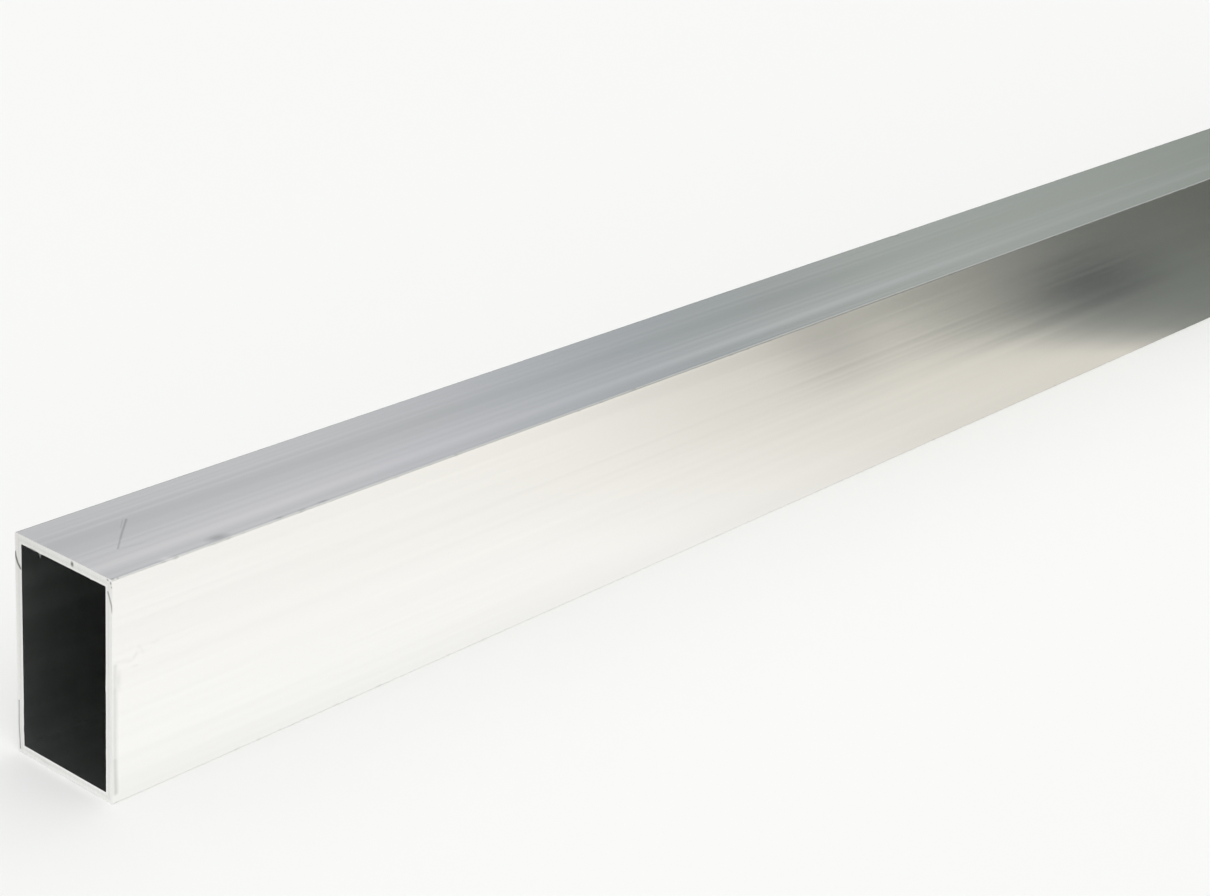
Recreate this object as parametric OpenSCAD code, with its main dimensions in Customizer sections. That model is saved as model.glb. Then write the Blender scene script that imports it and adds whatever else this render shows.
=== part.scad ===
// Rectangular tube, extruded in one piece and sawn square at both ends.
// It lies along X on one of its two narrow walls, and the origin is at the
// middle of the face that it rests on.

/* [Section] */
// Outside width, across the two tall walls
outer_width = 30; // [20:1:60]
// Outside height, across the two narrow walls
outer_height = 50; // [30:1:120]
// Wall thickness, the same all round
wall = 2; // [1.2:0.1:4]
// Radius of the four outside corners
outside_corner_r = 0.3; // [0.2:0.1:1]
// Radius of the four inside corners
inside_corner_r = 0.3; // [0.2:0.1:2]

/* [Bar] */
// Length of the bar, from saw cut to saw cut
bar_length = 1000; // [250:50:6000]

/* [Hidden] */
$fn = 48;
inner_width = outer_width - 2 * wall;
inner_height = outer_height - 2 * wall;

// Rectangle whose four corners are true arcs
module rounded_rectangle(width, height, corner_r) {
    square([width - 2 * corner_r, height], center = true);
    square([width, height - 2 * corner_r], center = true);
    for (side = [-1, 1], level = [-1, 1])
        translate([side * (width / 2 - corner_r), level * (height / 2 - corner_r)])
            circle(r = corner_r);
}

// Section of the bar: the wall between its outside and inside outlines
module hollow_section() {
    difference() {
        rounded_rectangle(outer_width, outer_height, outside_corner_r);
        rounded_rectangle(inner_width, inner_height, inside_corner_r);
    }
}

// The bar: its section, drawn across Y and Z, run along X
module tube() {
    color("gainsboro")
        translate([-bar_length / 2, 0, outer_height / 2])
            rotate([90, 0, 90])
                linear_extrude(height = bar_length)
                    hollow_section();
}

tube();
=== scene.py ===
import math

import bpy
import numpy as np
from mathutils import Matrix, Vector


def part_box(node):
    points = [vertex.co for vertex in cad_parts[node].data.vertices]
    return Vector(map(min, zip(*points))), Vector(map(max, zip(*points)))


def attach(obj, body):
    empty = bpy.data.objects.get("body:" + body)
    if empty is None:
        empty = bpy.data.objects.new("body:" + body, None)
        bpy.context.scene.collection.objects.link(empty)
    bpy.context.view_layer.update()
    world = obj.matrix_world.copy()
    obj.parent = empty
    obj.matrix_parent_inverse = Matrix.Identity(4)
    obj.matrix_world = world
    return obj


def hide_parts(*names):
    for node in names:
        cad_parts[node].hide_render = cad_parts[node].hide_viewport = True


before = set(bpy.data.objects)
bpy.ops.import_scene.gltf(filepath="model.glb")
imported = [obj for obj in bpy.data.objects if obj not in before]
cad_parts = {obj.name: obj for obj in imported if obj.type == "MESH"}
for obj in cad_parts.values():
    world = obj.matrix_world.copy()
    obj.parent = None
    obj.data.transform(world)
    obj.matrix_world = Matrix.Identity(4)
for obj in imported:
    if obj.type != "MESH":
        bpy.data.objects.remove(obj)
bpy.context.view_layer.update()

MM = 0.001
MICRON = 0.001 * MM

# The bar's sizes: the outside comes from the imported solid, the wall and corners repeat the part's source
LOW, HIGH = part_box("tube")
LENGTH, WIDTH, HEIGHT = HIGH - LOW
MIDDLE_Z = LOW.z + HEIGHT / 2
WALL = 2 * MM
OUTSIDE_CORNER_R = 0.3 * MM
INSIDE_CORNER_R = 0.3 * MM
NEAR_END, FAR_END = LOW.x, HIGH.x
FAR_SIDE = HIGH.y

# The four sides of the section in the order that its outline takes them
BACK, TOP_FACE, FRONT, UNDERSIDE = range(4)
SIDE_SIZES = (HEIGHT, WIDTH, HEIGHT, WIDTH)
LINE_PITCH = 0.25 * MM
CORNER_STEPS = 6

# Shallow falls across each side: place from its middle, half breadth and fall, with a rise below zero
FALLS = {
    BACK: [
        (-17.0 * MM, 2.2 * MM, 60 * MICRON),
        (2.0 * MM, 7.0 * MM, -70 * MICRON),
        (19.0 * MM, 2.0 * MM, 40 * MICRON),
    ],
    TOP_FACE: [
        (-10.2 * MM, 1.4 * MM, 30 * MICRON),
        (-3.5 * MM, 4.5 * MM, -110 * MICRON),
        (4.5 * MM, 2.5 * MM, 35 * MICRON),
        (9.0 * MM, 1.7 * MM, 115 * MICRON),
        (12.6 * MM, 0.9 * MM, -18 * MICRON),
    ],
    FRONT: [
        (-22.5 * MM, 1.8 * MM, -30 * MICRON),
        (-16.0 * MM, 2.8 * MM, 90 * MICRON),
        (-3.8 * MM, 2.4 * MM, -68 * MICRON),
        (2.0 * MM, 1.2 * MM, -25 * MICRON),
        (5.0 * MM, 2.6 * MM, 45 * MICRON),
        (12.0 * MM, 5.0 * MM, -20 * MICRON),
        (19.8 * MM, 1.6 * MM, -30 * MICRON),
        (23.0 * MM, 1.2 * MM, 25 * MICRON),
    ],
    UNDERSIDE: [
        (-9.0 * MM, 1.8 * MM, 70 * MICRON),
        (1.0 * MM, 5.0 * MM, -90 * MICRON),
        (9.5 * MM, 2.0 * MM, 40 * MICRON),
    ],
}

# Shallow bands and die lines that the extrusion die leaves along the bar
BANDS = 4
BAND_PITCH = (5 * MM, 14 * MM)
BAND_DEPTH = (3 * MICRON, 9 * MICRON)
LINES_PER_MM = 0.8
LINE_BREADTH = (0.35 * MM, 0.9 * MM)
LINE_DEPTH = (0.8 * MICRON, 5.5 * MICRON)
EDGE_EASE = 0.8 * MM
DIE_SEED = 40

# Places along the bar, counted from a saw cut, and the pitch between them further in
END_STATIONS = np.array([0, 0.15, 0.4, 0.8, 1.3, 2, 3, 4.5, 6.5, 9, 12.5, 16]) * MM
MIDDLE_PITCH = 50 * MM
BORE_STATIONS = END_STATIONS[[0, 1, 3, 6, 9]]

# Dents on the long edges: place along the bar, half length, depth, and the edge as its signs in y and z
DENTS = [
    (NEAR_END + 27.5 * MM, 3.4 * MM, 0.05 * MM, (-1, 1)),
    (NEAR_END + 14.0 * MM, 1.8 * MM, 0.06 * MM, (-1, 1)),
    (NEAR_END + 310 * MM, 2.0 * MM, 0.08 * MM, (1, 1)),
    (FAR_END - 240 * MM, 2.6 * MM, 0.10 * MM, (-1, 1)),
    (FAR_END - 31 * MM, 3.0 * MM, 0.14 * MM, (1, 1)),
]
DENT_STATIONS = 9
DENT_REACH = 1.0 * MM

# Saw cuts: rows of points across the wall, the blade's arcs, and the burr that it leaves
CUT_ROWS = np.array([0, 0.04, 0.1, 0.2, 0.3, 0.4, 0.5, 0.6, 0.7, 0.8, 0.9, 0.96, 1])
SAW_CENTRE = np.array([160, 35]) * MM
SAW_PITCH = 0.75 * MM
SAW_SWAY = 2.7 * SAW_PITCH
SAW_DEPTH = 5 * MICRON
INNER_BURR = 0.10 * MM
OUTER_BURR = 0.04 * MM
BURR_WAVES = (3, 7, 13, 29, 61, 97)
BURR_JITTER = 0.2
BURR_FOOT = 0.3
NEAR_CUT_SEED = 71
FAR_CUT_SEED = 83

# Slivers of burr that hang from the upper wall into the near opening: place across the bar, and reach
SLIVERS = [(7.0 * MM, 1.30 * MM), (-8.6 * MM, 0.20 * MM)]
SLIVER_HALF_BREADTH = 0.24 * MM

# The angle between faces from which their edge shows as a sharp one
SHARP_ANGLE = math.radians(50)

# Where each surface lies on the map that its finish is baked through, as shares of the map's height
OUTSIDE, NEAR_CUT, BORE, FAR_CUT = range(4)
MAP_ROWS = {
    OUTSIDE: (0.005, 0.800),
    BORE: (0.810, 0.930),
    NEAR_CUT: (0.940, 0.965),
    FAR_CUT: (0.970, 0.995),
}

# The stretch beside the near cut has most of the marks, so it takes this share of the map's width
MARKED_LENGTH = 2 * MIDDLE_PITCH
MARKED_SHARE = 0.4

# The camera, worked out from the bar's edges in the photograph
CAMERA_PLACE = Vector((-0.80303, -0.37846, 0.27746))
CAMERA_AIM = Vector((-0.35104, -0.01500, 0.03749))
CAMERA_ROLL = math.radians(-4.314)
CAMERA_LENS = 79.11
CAMERA_SENSOR = 36.0


# The section

def outline(width, height, corner_r, counts):
    """A rounded rectangle round the bar's axis, anticlockwise as seen from the far end.

    Returns its points and outward normals in (y, z), the side that each point lies on, or -1 on a corner,
    and how far along that side it lies from the side's middle.
    """
    half = np.array([width, height]) / 2 - corner_r
    corners = half * np.array([(1, 1), (-1, 1), (-1, -1), (1, -1)])
    points, normals, sides, along = [], [], [], []
    for side, count in enumerate(counts):
        start, end = corners[side - 1], corners[side]
        turn = side * math.pi / 2
        out = np.array([math.cos(turn), math.sin(turn)])
        reach = np.linalg.norm(end - start) / 2
        for share in np.linspace(0, 1, count + 1):
            points.append(start + (end - start) * share + out * corner_r)
            normals.append(out)
            sides.append(side)
            along.append((2 * share - 1) * reach)
        for step in range(1, CORNER_STEPS):
            angle = turn + step / CORNER_STEPS * math.pi / 2
            out = np.array([math.cos(angle), math.sin(angle)])
            points.append(end + out * corner_r)
            normals.append(out)
            sides.append(-1)
            along.append(0.0)
    return np.array(points), np.array(normals), np.array(sides), np.array(along)


def shallow_falls(along, reach, side):
    """How deep one side lies below flat at these places across it, with nothing left at its two edges."""
    depth = np.zeros_like(along)
    for middle, half_breadth, fall in FALLS[side]:
        steps = np.tanh((np.array([-reach, reach]) - middle) / half_breadth)
        level = np.tanh((along - middle) / half_breadth) - steps[0]
        depth += fall / 2 * (level - (steps[1] - steps[0]) * (along + reach) / (2 * reach))
    return depth


def die_relief(along, reach, seed):
    """How deep the die's bands and lines lie at these places across one side."""
    random = np.random.RandomState(seed)
    depth = np.zeros_like(along)
    for _ in range(BANDS):
        pitch = random.uniform(*BAND_PITCH)
        phase = random.uniform(0, 2 * math.pi)
        depth += random.uniform(*BAND_DEPTH) * (1 + np.cos(2 * math.pi * along / pitch + phase)) / 2
    for _ in range(round(2 * reach / MM * LINES_PER_MM)):
        middle = random.uniform(-reach, reach)
        breadth = random.uniform(*LINE_BREADTH)
        depth += random.uniform(*LINE_DEPTH) * np.exp(-(((along - middle) / breadth) ** 2))
    ease = np.clip((reach - np.abs(along)) / EDGE_EASE, 0, 1)
    return depth * ease * ease * (3 - 2 * ease)


# The bar as one closed mesh

def stations():
    """Places along the bar, closer together at the saw cuts and at each dent."""
    places = [*(NEAR_END + END_STATIONS), *(FAR_END - END_STATIONS)]
    for place, half_length, _, _ in DENTS:
        places += list(place + half_length * np.linspace(-1, 1, DENT_STATIONS))
    places += list(np.arange(NEAR_END + MIDDLE_PITCH, FAR_END - MIDDLE_PITCH / 2, MIDDLE_PITCH))
    return np.unique(np.round(places, 6))


def lay_along(section, places):
    """A grid of points: one ring of the section at each place along the bar."""
    grid = np.zeros((len(places), len(section), 3))
    grid[:, :, 0] = np.array(places)[:, None]
    grid[:, :, 1] = section[None, :, 0]
    grid[:, :, 2] = section[None, :, 1] + MIDDLE_Z
    return grid


def press_dents(skin):
    """Pushes the long edges in at each dent, softly at its ends and away from the edge."""
    for place, half_length, depth, (side, level) in DENTS:
        edge = np.array([side * WIDTH / 2, MIDDLE_Z + level * HEIGHT / 2])
        away = np.linalg.norm(skin[:, :, 1:] - edge, axis=2)
        run = np.clip(np.abs(skin[:, :, 0] - place) / half_length, 0, 1)
        push = depth * (1 - run ** 2) ** 2 * np.exp(-((away / DENT_REACH) ** 2))
        skin[:, :, 1] -= side * push
        skin[:, :, 2] -= level * push


def ragged(count, height, seed):
    """Heights of a burr all round an edge: mostly low, with a few taller stretches."""
    random = np.random.RandomState(seed)
    angle = np.linspace(0, 2 * math.pi, count, endpoint=False)
    total = random.uniform(-BURR_JITTER, BURR_JITTER, count)
    for waves in BURR_WAVES:
        total += np.cos(waves * angle + random.uniform(0, 2 * math.pi)) / math.sqrt(waves)
    return height * np.clip(total, 0, None) ** 2 / 2


def saw_cut_rows(outer_ring, inner_ring, outward, seed):
    """Rings of points from a saw cut's outside edge to its inside edge, with the blade's marks and burr."""
    share = CUT_ROWS[:, None, None]
    rows = outer_ring[None] * (1 - share) + inner_ring[None] * share
    from_blade = np.linalg.norm(rows[:, :, 1:] - SAW_CENTRE, axis=2)
    height = np.zeros(from_blade.shape)
    for pitch in (SAW_PITCH, SAW_SWAY):
        height += SAW_DEPTH * (np.cos(2 * math.pi * from_blade / pitch) - 1)
    outer_lip = ragged(rows.shape[1], OUTER_BURR, seed)
    inner_lip = ragged(rows.shape[1], INNER_BURR, seed + 1)
    height[0] += outer_lip
    height[1] += BURR_FOOT * outer_lip
    height[-1] += inner_lip
    height[-2] += BURR_FOOT * inner_lip
    rows[:, :, 0] += outward * height
    return rows


def hang_slivers(inner_ring):
    """Pulls the upper inside edge of a saw cut down into the opening at each sliver of burr."""
    upper = inner_ring[:, 2] > MIDDLE_Z
    for across, reach in SLIVERS:
        pull = reach * np.exp(-(((inner_ring[:, 1] - across) / SLIVER_HALF_BREADTH) ** 2))
        inner_ring[:, 2] -= np.where(upper, pull, 0)


def loop_faces(rows, columns):
    """Four-cornered faces of a grid of points whose rows and columns both close on themselves."""
    row = np.arange(rows)[:, None]
    column = np.arange(columns)[None]
    below = (row + 1) % rows
    after = (column + 1) % columns
    corners = [
        row * columns + column, row * columns + after,
        below * columns + after, below * columns + column,
    ]
    return np.stack(corners, axis=2).reshape(-1, 4)


def map_along(places):
    """How far across the baked map these places along the bar lie."""
    return np.interp(places - NEAR_END, [0, MARKED_LENGTH, LENGTH], [0, MARKED_SHARE, 1])


def map_places(surface, heights, columns):
    """Where each face's corners lie on the baked map, which runs along the bar across and round it upward.

    On the two saw cuts it runs round the bar across, and over the wall upward.
    """
    low, high = MAP_ROWS[surface]
    rows = len(heights)
    column = np.arange(columns + 1) / columns
    if surface in (OUTSIDE, BORE):
        across = np.repeat(heights[:, None], columns + 1, axis=1)
        up = np.repeat((low + (high - low) * column)[None], rows, axis=0)
    else:
        across = np.repeat(column[None], rows, axis=0)
        up = np.repeat((low + (high - low) * heights)[:, None], columns + 1, axis=1)
    spots = np.stack([across, up], axis=2)
    corners = [spots[:-1, :-1], spots[:-1, 1:], spots[1:, 1:], spots[1:, :-1]]
    return np.stack(corners, axis=2).reshape(-1, 4, 2)


def shade_edges(mesh, columns, rims):
    """Smooth shading, apart from edges between steep faces and the rims of the two saw cuts."""
    mesh.shade_smooth()
    mesh.set_sharp_from_angle(angle=SHARP_ANGLE)
    ends = np.zeros(2 * len(mesh.edges), dtype=np.int32)
    mesh.edges.foreach_get("vertices", ends)
    rings = ends.reshape(-1, 2) // columns
    sharp = np.zeros(len(mesh.edges), dtype=bool)
    mesh.edges.foreach_get("use_edge_sharp", sharp)
    sharp |= (rings[:, 0] == rings[:, 1]) & np.isin(rings[:, 0], rims)
    mesh.edges.foreach_set("use_edge_sharp", sharp)


def make_tube(finishes):
    counts = [round(size / LINE_PITCH) for size in SIDE_SIZES]
    outer, out, sides, along = outline(WIDTH, HEIGHT, OUTSIDE_CORNER_R, counts)
    inner = outline(WIDTH - 2 * WALL, HEIGHT - 2 * WALL, INSIDE_CORNER_R, counts)[0]
    for side, size in enumerate(SIDE_SIZES):
        here = sides == side
        reach = size / 2 - OUTSIDE_CORNER_R
        depth = shallow_falls(along[here], reach, side) + die_relief(along[here], reach, DIE_SEED + side)
        outer[here] -= out[here] * depth[:, None]

    skin = lay_along(outer, stations())
    press_dents(skin)
    bore = lay_along(inner, np.concatenate([FAR_END - BORE_STATIONS, [0], NEAR_END + BORE_STATIONS[::-1]]))
    far_cut = saw_cut_rows(skin[-1], bore[0], 1, FAR_CUT_SEED)
    near_cut = saw_cut_rows(skin[0], bore[-1], -1, NEAR_CUT_SEED)
    hang_slivers(near_cut[-1])
    skin[0], skin[-1] = near_cut[0], far_cut[0]
    bore[0], bore[-1] = far_cut[-1], near_cut[-1]

    # One loop of rings: along the outside, over the far cut, back through the bore and over the near cut
    rings = np.concatenate([skin, far_cut[1:-1], bore, near_cut[-2:0:-1]])
    columns = len(outer)
    spots, kinds = [], []
    for surface, heights in (
        (OUTSIDE, map_along(skin[:, 0, 0])), (FAR_CUT, CUT_ROWS),
        (BORE, map_along(bore[:, 0, 0])), (NEAR_CUT, CUT_ROWS[::-1]),
    ):
        spots.append(map_places(surface, heights, columns))
        kinds.append(np.full((len(heights) - 1) * columns, surface))

    mesh = bpy.data.meshes.new("extruded_tube")
    mesh.from_pydata(rings.reshape(-1, 3).tolist(), [], loop_faces(len(rings), columns).tolist())
    for finish in finishes:
        mesh.materials.append(finish)
    mesh.polygons.foreach_set("material_index", np.concatenate(kinds))
    bore_start = len(skin) + len(far_cut) - 2
    shade_edges(mesh, columns, rims=[0, len(skin) - 1, bore_start, bore_start + len(bore) - 1])
    mesh.uv_layers.new(name="OFBake").data.foreach_set("uv", np.concatenate(spots).ravel())
    tube = bpy.data.objects.new("extruded_tube", mesh)
    bpy.context.scene.collection.objects.link(tube)
    return tube


# Node trees

class Shader:
    """The node tree of a material or a world, with short ways to add nodes to it."""

    def __init__(self, owner):
        owner.use_nodes = True
        self.tree = owner.node_tree
        self.tree.nodes.clear()

    def put(self, socket, value):
        if isinstance(value, bpy.types.NodeSocket):
            self.tree.links.new(value, socket)
        else:
            socket.default_value = value

    def node(self, kind, inputs=None, **settings):
        made = self.tree.nodes.new("ShaderNode" + kind)
        for name, value in settings.items():
            setattr(made, name, value)
        for name, value in (inputs or {}).items():
            self.put(made.inputs[name], value)
        return made

    def math(self, operation, *values, clamp=False):
        made = self.node("Math", operation=operation, use_clamp=clamp)
        for socket, value in zip(made.inputs, values):
            self.put(socket, value)
        return made.outputs[0]

    def weigh(self, share, first, second):
        """This share of the first value and the rest of the second."""
        rest = self.math("MULTIPLY", second, 1 - share)
        return self.math("ADD", self.math("MULTIPLY", first, share), rest)

    def vector(self, operation, *values):
        made = self.node("VectorMath", operation=operation)
        sockets = [made.inputs[0], made.inputs["Scale"]] if operation == "SCALE" else made.inputs
        for socket, value in zip(sockets, values):
            self.put(socket, value)
        return made.outputs["Value" if operation in ("DOT_PRODUCT", "DISTANCE", "LENGTH") else "Vector"]

    def spread(self, value, low, high, to_low=0.0, to_high=1.0, kind="LINEAR"):
        """Takes low..high to to_low..to_high, held at both ends."""
        made = self.node("MapRange", interpolation_type=kind)
        names = ("Value", "From Min", "From Max", "To Min", "To Max")
        for name, number in zip(names, (value, low, high, to_low, to_high)):
            self.put(made.inputs[name], number)
        return made.outputs[0]

    def noise(self, place, scales, detail=2.0):
        """Soft noise from 0 to 1 with this many waves a metre along each axis."""
        waves = self.vector("MULTIPLY", place, scales)
        return self.node("TexNoise", {"Vector": waves, "Scale": 1.0, "Detail": detail}).outputs[0]

    def ramp(self, value, stops):
        """A colour that follows value through (value, colour) stops."""
        low, high = stops[0][0], stops[-1][0]
        made = self.node("ValToRGB", {"Fac": self.spread(value, low, high)})
        elements = made.color_ramp.elements
        while len(elements) < len(stops):
            elements.new(1.0)
        for element, (place, colour) in zip(elements, stops):
            element.position = (place - low) / (high - low)
            element.color = (*colour, 1)
        return made.outputs["Color"]

    def blend(self, share, first, second, kind="MIX"):
        made = self.node("Mix", data_type="RGBA", blend_type=kind)
        self.put(made.inputs["Factor"], share)
        colours = [socket for socket in made.inputs if socket.type == "RGBA"]
        for socket, value in zip(colours, (first, second)):
            self.put(socket, value)
        return next(socket for socket in made.outputs if socket.type == "RGBA")

    def line(self, place, start, end, half_width):
        """1 on a straight line from start to end, falling to 0 at half_width from it."""
        run = Vector(end) - Vector(start)
        from_start = self.vector("SUBTRACT", place, start)
        ahead = self.vector("DOT_PRODUCT", from_start, run)
        share = self.math("MULTIPLY", ahead, 1 / run.length_squared, clamp=True)
        away = self.vector("DISTANCE", from_start, self.vector("MULTIPLY", run, share))
        return self.spread(away, 0, half_width, 1, 0, "SMOOTHSTEP")

    def patch(self, place, middle, reach):
        """1 at the middle of a soft oval patch, falling to 0 at its reach along each axis."""
        away = self.vector("DIVIDE", self.vector("SUBTRACT", place, middle), reach)
        return self.spread(self.vector("LENGTH", away), 0, 1, 1, 0, "SMOOTHSTEP")

    def strongest(self, masks):
        total = masks[0]
        for mask in masks[1:]:
            total = self.math("MAXIMUM", total, mask)
        return total


# Marks on the outside, in millimetres from the near cut, the middle plane and the floor: scratches and
# lines of painted burr shadow as a chain of points, half width and strength, and patches as middle, reach
# and strength
SCRATCHES_AND_BURR_SHADOW = [
    ([(20.6, 5.3, 50), (15.6, 0.7, 50), (13.4, -1.4, 50)], 0.46, 0.40),
    ([(13.4, -1.4, 50), (10.1, -4.6, 50)], 0.38, 0.36),
    ([(19.9, 5.6, 50), (17.0, 2.8, 50)], 0.24, 0.20),
    ([(10.1, -4.6, 50), (16.0, -5.9, 50)], 0.50, 0.05),
    # The bend at the top of the grey line beside the near cut: painted shadow at the edge of a rolled burr
    ([(0.6, -15, 31.8), (2.0, -15, 31.5), (3.4, -15, 31.3), (4.9, -15, 30.9)], 0.80, 0.045),
    ([(5.3, -15, 31.1), (6.3, -15, 32.2)], 0.60, 0.06),
    ([(5.3, -15, 29.4), (6.3, -15, 29.4)], 0.50, 0.05),
    ([(6.7, -15, 33.6), (7.9, -15, 31.8)], 0.60, 0.045),
    ([(10.2, -15, 32.9), (11.8, -15, 32.9)], 0.60, 0.04),
    # The grey line down the front beside the near cut: painted shadow at the edge of a rolled burr, with a
    # shallow groove in the bump
    ([(0.75, -15, 31.0), (0.65, -15, 26)], 1.00, 0.18),
    ([(0.65, -15, 26), (0.65, -15, 10)], 1.10, 0.22),
    ([(0.65, -15, 10), (0.75, -15, 6), (0.85, -15, 2.5)], 1.00, 0.32),
]
PATCHES = [
    ((28.5, -13.5, 50), (4.2, 2.2, 0.8), 0.45),
    ((44.6, -14.4, 50), (1.8, 0.7, 0.6), 0.28),
    ((51.0, -14.5, 50), (1.6, 0.6, 0.6), 0.25),
    ((57.2, -14.2, 50), (2.4, 0.7, 0.6), 0.28),
    ((0.5, -14.5, 50), (0.5, 0.4, 0.4), 0.45),
    ((1.5, -14.8, 50), (0.4, 0.4, 0.4), 0.35),
    ((1.1, -15, 27.6), (1.8, 1.0, 4.6), 0.14),
]

# Marks on the near saw cut, given in the same way: lines of painted shade under and beside the burr, which
# the relief also raises, and specks
BURR_SHADOW_LINES = [
    ([(0, 15.0, 45.6), (0, 14.75, 44.6), (0, 14.2, 43.4), (0, 13.4, 42.5)], 0.50, 0.97),
    ([(0, -13.7, 47.0), (0, -14.2, 45.8), (0, -14.7, 44.5), (0, -15.0, 43.1)], 0.42, 0.60),
    ([(0, 14.5, 12.0), (0, 14.6, 6.5), (0, 14.3, 0.9)], 0.30, 0.70),
]
CUT_SPECKS_AND_PIT_SHADE = [
    # A small pit, painted dark as its shade
    ((0, -2.85, 49.2), (0.6, 0.70, 0.90), 0.97),
    ((0, 6.0, 0.9), (0.6, 2.5, 0.6), 0.12),
    ((0, -13.6, 49.6), (0.6, 0.50, 0.35), 0.65),
    ((0, -14.5, 49.2), (0.6, 0.35, 0.50), 0.75),
    ((0, -14.7, 48.4), (0.6, 0.30, 0.40), 0.60),
]


def from_near_end(place):
    """A place that is given in millimetres from the near saw cut, the middle plane and the floor."""
    return Vector((NEAR_END, 0, LOW.z)) + Vector(place) * MM


def chain(shader, place, points, half_width):
    """1 on a line through these points, falling to 0 at half_width from it."""
    spots = [from_near_end(point) for point in points]
    return shader.strongest([
        shader.line(place, start, end, half_width * MM) for start, end in zip(spots, spots[1:])
    ])


def marked(shader, place, chains, patches):
    """How strongly these lines mark a place, and how strongly the lines and patches together do."""
    on_lines = shader.strongest([
        shader.math("MULTIPLY", chain(shader, place, points, half_width), strength)
        for points, half_width, strength in chains
    ])
    smudged = shader.strongest([
        shader.math("MULTIPLY", shader.patch(place, from_near_end(middle), Vector(reach) * MM), strength)
        for middle, reach, strength in patches
    ])
    return on_lines, shader.math("MAXIMUM", on_lines, smudged)


def inset(shader, place, half_width, half_height):
    """How far a place lies outside a rectangle round the bar's axis, in y and z, below zero inside it."""
    parts = shader.node("SeparateXYZ", {"Vector": place}).outputs
    over_y = shader.math("SUBTRACT", shader.math("ABSOLUTE", parts["Y"]), half_width)
    level = shader.math("ABSOLUTE", shader.math("SUBTRACT", parts["Z"], MIDDLE_Z))
    return over_y, shader.math("SUBTRACT", level, half_height)


# The range that soft noise mostly stays in
NOISE_RANGE = (0.3, 0.7)

# The outside as the die leaves it: waves of noise a metre along the bar and across it, and the two tones
MILL_FINE = (8, 1100, 1100)
MILL_BROAD = (2.5, 160, 160)
MILL_CLOUD = (9, 30, 30)
MILL_FINE_SHARE = 0.35
MILL_TONES = ((0.915, 0.912, 0.900, 1), (0.955, 0.952, 0.940, 1))

# Its roughness, which follows the broad noise, and what the clouds and marks add to it up to the roughest
BROAD_RANGE = (0.25, 0.75)
MILL_ROUGHNESS = (0.215, 0.245)
CLOUD_ROUGHNESS = (-0.005, 0.015)
MARK_ROUGHNESS = 0.1
MILL_ROUGHEST = 0.265

# Its grain's height, a scratch's depth as a multiple of that, the colour of the marks and of the painted
# burr shadow, and how much it streaks
MILL_GRAIN = 1.6 * MICRON
MILL_SCRATCH = 4.0
MARK_AND_SHADOW_COLOUR = (0.24, 0.25, 0.25, 1)
MILL_STREAKING = 0.5

# Rubbed long edges: how far from the edge they reach, the noise that picks the nicks, and their strength
RUBBED_BAND = (-0.9 * MM, -0.2 * MM)
NICK_WAVES = (420, 900, 900)
NICK_RANGE = (0.60, 0.72)
NICK_STRENGTH = 0.22


def mill_aluminium():
    material = bpy.data.materials.new("mill_aluminium")
    shader = Shader(material)
    place = shader.node("TexCoord").outputs["Object"]
    fine = shader.noise(place, MILL_FINE)
    broad = shader.noise(place, MILL_BROAD)
    cloud = shader.noise(place, MILL_CLOUD, detail=3.0)
    tone = shader.weigh(MILL_FINE_SHARE, fine, broad)
    bare = shader.blend(shader.spread(tone, *NOISE_RANGE), *MILL_TONES)
    on_lines, marks = marked(shader, place, SCRATCHES_AND_BURR_SHADOW, PATCHES)

    # Long edges are rubbed: here and there a nick shows darker
    from_edge = shader.math("MINIMUM", *inset(shader, place, WIDTH / 2, HEIGHT / 2))
    on_edge = shader.spread(from_edge, *RUBBED_BAND, kind="SMOOTHSTEP")
    nicks = shader.spread(shader.noise(place, NICK_WAVES, detail=3.0), *NICK_RANGE)
    worn = shader.math("MULTIPLY", shader.math("MULTIPLY", on_edge, nicks), NICK_STRENGTH)

    # Marks and nicks darken the colour; the line beside the near cut among the marks is painted shadow
    dark = shader.math("MAXIMUM", marks, worn)
    colour = shader.blend(dark, bare, MARK_AND_SHADOW_COLOUR)
    streaky = shader.spread(broad, *BROAD_RANGE, *MILL_ROUGHNESS)
    cloudy = shader.math("ADD", streaky, shader.spread(cloud, *NOISE_RANGE, *CLOUD_ROUGHNESS))
    rougher = shader.math("ADD", cloudy, shader.math("MULTIPLY", dark, MARK_ROUGHNESS))
    roughness = shader.math("MINIMUM", rougher, MILL_ROUGHEST)
    relief = shader.math("SUBTRACT", fine, shader.math("MULTIPLY", on_lines, MILL_SCRATCH))
    bump = shader.node("Bump", {"Height": relief, "Strength": 1.0, "Distance": MILL_GRAIN})
    tangent = shader.node("Tangent", direction_type="RADIAL", axis="X")
    surface = shader.node("BsdfPrincipled", {
        "Base Color": colour, "Metallic": 1.0, "Roughness": roughness, "Anisotropic": MILL_STREAKING,
        "Tangent": tangent.outputs[0], "Normal": bump.outputs[0],
    })
    shader.node("OutputMaterial", {"Surface": surface.outputs[0]})
    return material


# How the colour of a saw cut changes from the bore, at 0, to the outside, at 1, with hanging burr below 0,
# where it falls to near black. The lighter edges of the wall, whitest at the bore, are painted highlights
# where the burr catches the light.
CUT_TONES_AND_HIGHLIGHTS = [
    (-0.40, (0.14, 0.145, 0.14)),
    (-0.05, (0.22, 0.225, 0.22)),
    (0.00, (1.00, 1.00, 0.995)),
    (0.15, (0.97, 0.97, 0.965)),
    (0.40, (0.86, 0.865, 0.855)),
    (0.65, (0.93, 0.93, 0.925)),
    (1.00, (0.97, 0.97, 0.965)),
]

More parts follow.
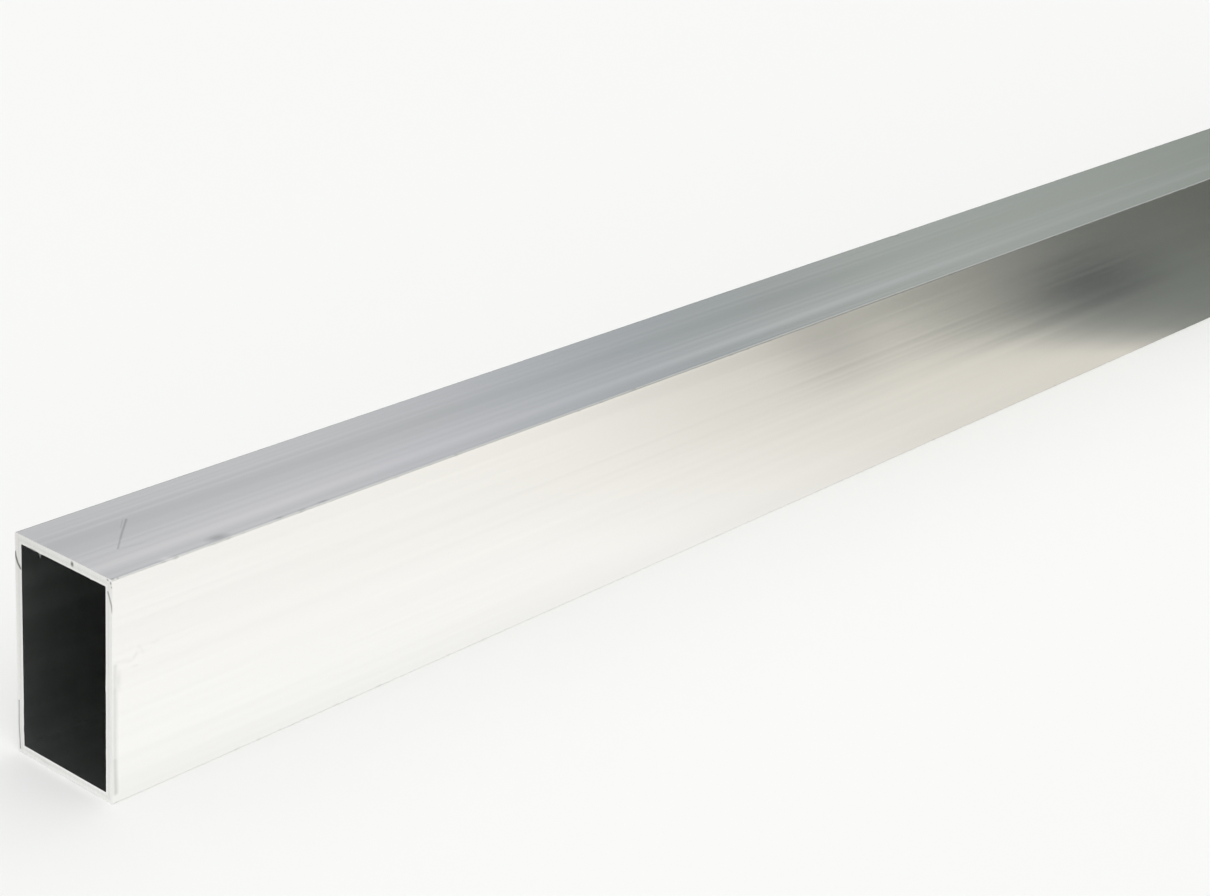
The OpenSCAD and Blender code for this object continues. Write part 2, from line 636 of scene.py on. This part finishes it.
# Painted shade: a saw cut's colour is scaled lighter toward its lower front corner and darker toward its
# upper back corner, for how the light falls on it
CUT_PAINTED_SHADE_AXIS = (0, 1 / WIDTH, 1 / HEIGHT)
CUT_PAINTED_SHADE = (1.04, 0.90)

# Its noise in waves a metre, the two tones, and how rough the blade leaves it
SAWN_GRAIN = (900, 900, 900)
SAWN_STROKES = (200, 1500, 120)
SAWN_GRAIN_SHARE = 0.5
SAWN_TONES = ((0.86, 0.86, 0.855, 1), (0.97, 0.97, 0.965, 1))
SAWN_ROUGHNESS = (0.36, 0.50)

# Its relief's height, a burr line's height as a multiple of that, and the colour of the specks and of the
# painted shade along the burr lines
SAWN_RELIEF = 6 * MICRON
SAWN_BURR = 3.0
SPECK_AND_SHADE_COLOUR = (0.10, 0.105, 0.10, 1)


def sawn_aluminium():
    material = bpy.data.materials.new("sawn_aluminium")
    shader = Shader(material)
    place = shader.node("TexCoord").outputs["Object"]
    grain = shader.noise(place, SAWN_GRAIN, detail=3.0)
    strokes = shader.noise(place, SAWN_STROKES)
    tone = shader.weigh(SAWN_GRAIN_SHARE, grain, strokes)
    bare = shader.blend(shader.spread(tone, *NOISE_RANGE), *SAWN_TONES)
    from_bore = shader.math("MAXIMUM", *inset(shader, place, WIDTH / 2 - WALL, HEIGHT / 2 - WALL))
    # Painted highlights at the lighter edges of the wall, whitest at the bore
    graded = shader.ramp(shader.math("DIVIDE", from_bore, WALL), CUT_TONES_AND_HIGHLIGHTS)
    clean = shader.blend(1.0, bare, graded, "MULTIPLY")
    # Painted shade: darker toward the cut's upper back corner, lighter toward its lower front
    from_middle = shader.vector("SUBTRACT", place, (0, 0, MIDDLE_Z))
    toward_shaded_corner = shader.vector("DOT_PRODUCT", from_middle, CUT_PAINTED_SHADE_AXIS)
    clean = shader.vector("SCALE", clean, shader.spread(toward_shaded_corner, -1, 1, *CUT_PAINTED_SHADE))
    # Painted shade along the burr lines and in the pit, with the specks
    on_lines, marks = marked(shader, place, BURR_SHADOW_LINES, CUT_SPECKS_AND_PIT_SHADE)
    colour = shader.blend(marks, clean, SPECK_AND_SHADE_COLOUR)
    roughness = shader.spread(tone, *NOISE_RANGE, *SAWN_ROUGHNESS)
    relief = shader.math("ADD", tone, shader.math("MULTIPLY", on_lines, SAWN_BURR))
    bump = shader.node("Bump", {"Height": relief, "Strength": 1.0, "Distance": SAWN_RELIEF})
    surface = shader.node("BsdfPrincipled", {
        "Base Color": colour, "Metallic": 1.0, "Roughness": roughness, "Normal": bump.outputs[0],
    })
    shader.node("OutputMaterial", {"Surface": surface.outputs[0]})
    return material


# The bore, which is duller, and darker in colour as painted shade for the inside of the tube
BORE_STREAK = (3, 250, 250)
BORE_SHADED_TONES = ((0.62, 0.645, 0.635, 1), (0.70, 0.725, 0.715, 1))
BORE_ROUGHNESS = (0.30, 0.34)


def bore_aluminium():
    material = bpy.data.materials.new("bore_aluminium")
    shader = Shader(material)
    place = shader.node("TexCoord").outputs["Object"]
    streak = shader.noise(place, BORE_STREAK)
    # Painted shade: the bore's colour is darker than the outside's
    colour = shader.blend(streak, *BORE_SHADED_TONES)
    roughness = shader.spread(streak, *NOISE_RANGE, *BORE_ROUGHNESS)
    surface = shader.node("BsdfPrincipled", {"Base Color": colour, "Metallic": 1.0, "Roughness": roughness})
    shader.node("OutputMaterial", {"Surface": surface.outputs[0]})
    return material


# The stage

FLOOR_REACH = 20.0
FLOOR_DROP = 0.02 * MM
FLOOR_COLOUR = (0.94, 0.938, 0.932)

# A ring at the floor's rim, in the tone that the floor has under its light
BACKDROP_HEIGHT = 8.0
BACKDROP_PANELS = 48
BACKDROP_COLOUR = (0.945, 0.95, 0.935, 1)

# The card that the metal's sides mirror, darker beside the middle of the bar: its colours by place along
# the bar, slanted close to it and straight further out, and the reaches between which one becomes the other
FLAG_REACH = 1.0
FLAG_LIFT = 0.1 * MM
FLAG_SLANT = 1.15
FLAG_NEAR_STOPS = [
    (-0.42, (1.00, 1.00, 0.985)),
    (-0.31, (0.995, 0.985, 0.96)),
    (-0.26, (0.93, 0.91, 0.87)),
    (-0.19, (0.805, 0.78, 0.72)),
    (-0.096, (0.745, 0.715, 0.645)),
    (-0.076, (0.47, 0.465, 0.425)),
    (-0.058, (0.285, 0.295, 0.27)),
    (-0.028, (0.205, 0.22, 0.20)),
    (0.06, (0.15, 0.165, 0.145)),
    (0.35, (0.105, 0.11, 0.097)),
    (0.80, FLOOR_COLOUR),
]
FLAG_FAR_STOPS = [
    (-0.44, (0.96, 0.95, 0.925)),
    (-0.34, (0.96, 0.94, 0.90)),
    (-0.28, (0.93, 0.91, 0.86)),
    (-0.17, (0.60, 0.585, 0.53)),
    (-0.09, (0.365, 0.36, 0.32)),
    (-0.04, (0.29, 0.29, 0.265)),
    (0.00, (0.17, 0.178, 0.16)),
    (0.09, (0.108, 0.115, 0.100)),
    (0.35, (0.105, 0.11, 0.097)),
    (0.80, FLOOR_COLOUR),
]
FLAG_NEAR_REACH = 20 * MM
FLAG_FAR_REACH = 90 * MM

# The shade along the bar's foot: how far it reaches, and the share of light left beside the bar
FOOT_REACH = 18 * MM
FOOT_LIGHT = 0.945

# Darker ovals on it: middle, reach along and across the bar, and how much of the light they take
FLAG_OVALS = [
    ((-46 * MM, 59 * MM, 0), (66 * MM, 24 * MM, 1), 0.97),
    ((-170 * MM, 77 * MM, 0), (33 * MM, 16 * MM, 1), 0.74),
]
OVAL_COLOUR = (0.02, 0.026, 0.036, 1)

# The world's light by height above the horizon, as the sine of the angle
SKY_STOPS = [
    (0.000, (0.13, 0.14, 0.125)),
    (0.200, (0.235, 0.257, 0.23)),
    (0.264, (0.268, 0.296, 0.264)),
    (0.308, (0.32, 0.350, 0.33)),
    (0.338, (0.25, 0.295, 0.30)),
    (0.375, (0.465, 0.47, 0.525)),
    (0.425, (0.60, 0.59, 0.62)),
    (0.550, (0.71, 0.71, 0.725)),
    (0.700, (0.80, 0.80, 0.805)),
    (1.000, (0.86, 0.86, 0.855)),
]

# How the sky's light changes with its bearing from the bar's far end, in degrees toward its back
BEARING_STOPS = [
    (20.0, (0.89, 0.91, 0.88)),
    (27.0, (0.92, 0.94, 0.91)),
    (30.5, (1.065, 1.07, 1.04)),
    (33.5, (1.04, 1.06, 1.005)),
    (35.0, (0.85, 0.885, 0.88)),
    (37.0, (0.78, 0.805, 0.83)),
    (39.0, (0.91, 0.94, 1.00)),
    (41.0, (1.075, 1.07, 1.105)),
    (44.5, (1.12, 1.105, 1.10)),
    (47.0, (1.09, 1.09, 1.085)),
    (49.5, (1.005, 1.01, 1.015)),
    (52.0, (0.91, 0.915, 0.91)),
]

# The sky in front of the bar is pale where it is low, and dark toward the bar's far end.
# Each of its edges is given by the parts of the direction between which it fades in.
FRONT_FILL = (0.90, 0.90, 0.88, 1)
FRONT_SHADE = (0.11, 0.12, 0.11, 1)
FRONT_EDGE = (0.30, 0.0)
FURTHER_FRONT_EDGE = (-0.05, -0.30)
LOW_EDGE = (0.60, 0.30)
FAR_EDGE = (0.60, 0.82)


def flat_card(name, reach, z):
    mesh = bpy.data.meshes.new(name)
    corners = [(-reach, -reach, z), (reach, -reach, z), (reach, reach, z), (-reach, reach, z)]
    mesh.from_pydata(corners, [], [(0, 1, 2, 3)])
    card = bpy.data.objects.new(name, mesh)
    bpy.context.scene.collection.objects.link(card)
    return card


def make_floor():
    material = bpy.data.materials.new("pale_floor")
    shader = Shader(material)
    surface = shader.node("BsdfDiffuse", {"Color": (*FLOOR_COLOUR, 1)})
    shader.node("OutputMaterial", {"Surface": surface.outputs[0]})
    floor = flat_card("floor", FLOOR_REACH, LOW.z - FLOOR_DROP)
    floor.data.materials.append(material)


def make_backdrop():
    """A pale ring all round that only the camera sees: it lights nothing, and the metal mirrors the sky."""
    material = bpy.data.materials.new("pale_backdrop")
    shader = Shader(material)
    surface = shader.node("Emission", {"Color": BACKDROP_COLOUR, "Strength": 1.0})
    shader.node("OutputMaterial", {"Surface": surface.outputs[0]})
    count = BACKDROP_PANELS
    turns = np.linspace(0, 2 * math.pi, count, endpoint=False)
    rim = [(FLOOR_REACH * math.cos(turn), FLOOR_REACH * math.sin(turn)) for turn in turns]
    foot = [(x, y, LOW.z - FLOOR_DROP) for x, y in rim]
    head = [(x, y, BACKDROP_HEIGHT) for x, y in rim]
    panels = [(i, i + count, (i + 1) % count + count, (i + 1) % count) for i in range(count)]
    mesh = bpy.data.meshes.new("backdrop")
    mesh.from_pydata(foot + head, [], panels)
    mesh.materials.append(material)
    ring = bpy.data.objects.new("backdrop", mesh)
    bpy.context.scene.collection.objects.link(ring)
    ring.visible_diffuse = False
    ring.visible_glossy = False
    ring.visible_shadow = False
    ring.visible_transmission = False


def make_flag():
    """A card on the floor that only the metal's reflections show, dark beside the middle of the bar."""
    material = bpy.data.materials.new("graded_flag")
    shader = Shader(material)
    place = shader.node("SeparateXYZ", {"Vector": shader.node("TexCoord").outputs["Object"]})
    either_side = shader.math("ABSOLUTE", place.outputs["Y"])
    out = shader.math("SUBTRACT", either_side, FAR_SIDE)
    slanted = shader.math("ADD", place.outputs["X"], shader.math("MULTIPLY", out, FLAG_SLANT))
    colour = shader.blend(
        shader.spread(out, FLAG_NEAR_REACH, FLAG_FAR_REACH, kind="SMOOTHSTEP"),
        shader.ramp(slanted, FLAG_NEAR_STOPS), shader.ramp(place.outputs["X"], FLAG_FAR_STOPS),
    )
    spot = shader.node("CombineXYZ", {"X": place.outputs["X"], "Y": either_side}).outputs[0]
    for middle, reach, strength in FLAG_OVALS:
        share = shader.math("MULTIPLY", shader.patch(spot, middle, reach), strength)
        colour = shader.blend(share, colour, OVAL_COLOUR)
    colour = shader.vector("SCALE", colour, shader.spread(out, 0, FOOT_REACH, FOOT_LIGHT, 1, "SMOOTHSTEP"))
    surface = shader.node("Emission", {"Color": colour, "Strength": 1.0})
    shader.node("OutputMaterial", {"Surface": surface.outputs[0]})
    flag = flat_card("graded_flag", FLAG_REACH, LOW.z + FLAG_LIFT)
    flag.data.materials.append(material)
    flag.visible_camera = False
    flag.visible_diffuse = False
    flag.visible_shadow = False
    flag.visible_transmission = False


def make_world():
    world = bpy.data.worlds.new("studio")
    bpy.context.scene.world = world
    shader = Shader(world)
    toward = shader.node("SeparateXYZ", {"Vector": shader.node("TexCoord").outputs["Generated"]}).outputs
    bearing = shader.math("DEGREES", shader.math("ARCTAN2", toward["Y"], toward["X"]))
    by_height = shader.ramp(toward["Z"], SKY_STOPS)
    sky = shader.blend(1.0, by_height, shader.ramp(bearing, BEARING_STOPS), "MULTIPLY")
    front = shader.spread(toward["Y"], *FRONT_EDGE, kind="SMOOTHSTEP")
    further_front = shader.spread(toward["Y"], *FURTHER_FRONT_EDGE, kind="SMOOTHSTEP")
    low = shader.spread(toward["Z"], *LOW_EDGE, kind="SMOOTHSTEP")
    far = shader.spread(toward["X"], *FAR_EDGE)
    filled = shader.blend(shader.math("MULTIPLY", front, low), sky, FRONT_FILL)
    shaded = shader.blend(shader.math("MULTIPLY", further_front, far), filled, FRONT_SHADE)
    surface = shader.node("Background", {"Color": shaded, "Strength": 1.0})
    shader.node("OutputWorld", {"Surface": surface.outputs[0]})


# A wide soft lamp
SUN_FROM = Vector((-0.8, -0.6, 1.2))
SUN_STRENGTH = 1.33
SUN_SPREAD = math.radians(60)


def make_sun():
    """The lamp lights the floor. It stays out of the metal's reflections, which it would burn out."""
    light = bpy.data.lights.new("softbox", "SUN")
    light.energy = SUN_STRENGTH
    light.angle = SUN_SPREAD
    lamp = bpy.data.objects.new("softbox", light)
    lamp.rotation_mode = "QUATERNION"
    lamp.rotation_quaternion = (-SUN_FROM).to_track_quat("-Z", "Y")
    lamp.visible_glossy = False
    bpy.context.scene.collection.objects.link(lamp)


def make_camera():
    data = bpy.data.cameras.new("camera")
    data.lens = CAMERA_LENS
    data.sensor_width = CAMERA_SENSOR
    data.sensor_fit = "HORIZONTAL"
    camera = bpy.data.objects.new("camera", data)
    forward = (CAMERA_AIM - CAMERA_PLACE).normalized()
    level_right = forward.cross(Vector((0, 0, 1))).normalized()
    level_up = level_right.cross(forward)
    up = level_up * math.cos(CAMERA_ROLL) + level_right * math.sin(CAMERA_ROLL)
    right = forward.cross(up)
    turn = Matrix((right, up, -forward)).transposed()
    camera.matrix_world = Matrix.Translation(CAMERA_PLACE) @ turn.to_4x4()
    bpy.context.scene.collection.objects.link(camera)
    bpy.context.scene.camera = camera


sawn = sawn_aluminium()
tube = make_tube([mill_aluminium(), sawn, bore_aluminium(), sawn])
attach(tube, "root")
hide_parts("tube")

make_floor()
make_backdrop()
make_flag()
make_world()
make_sun()
make_camera()
bpy.context.scene.view_settings.view_transform = "Standard"
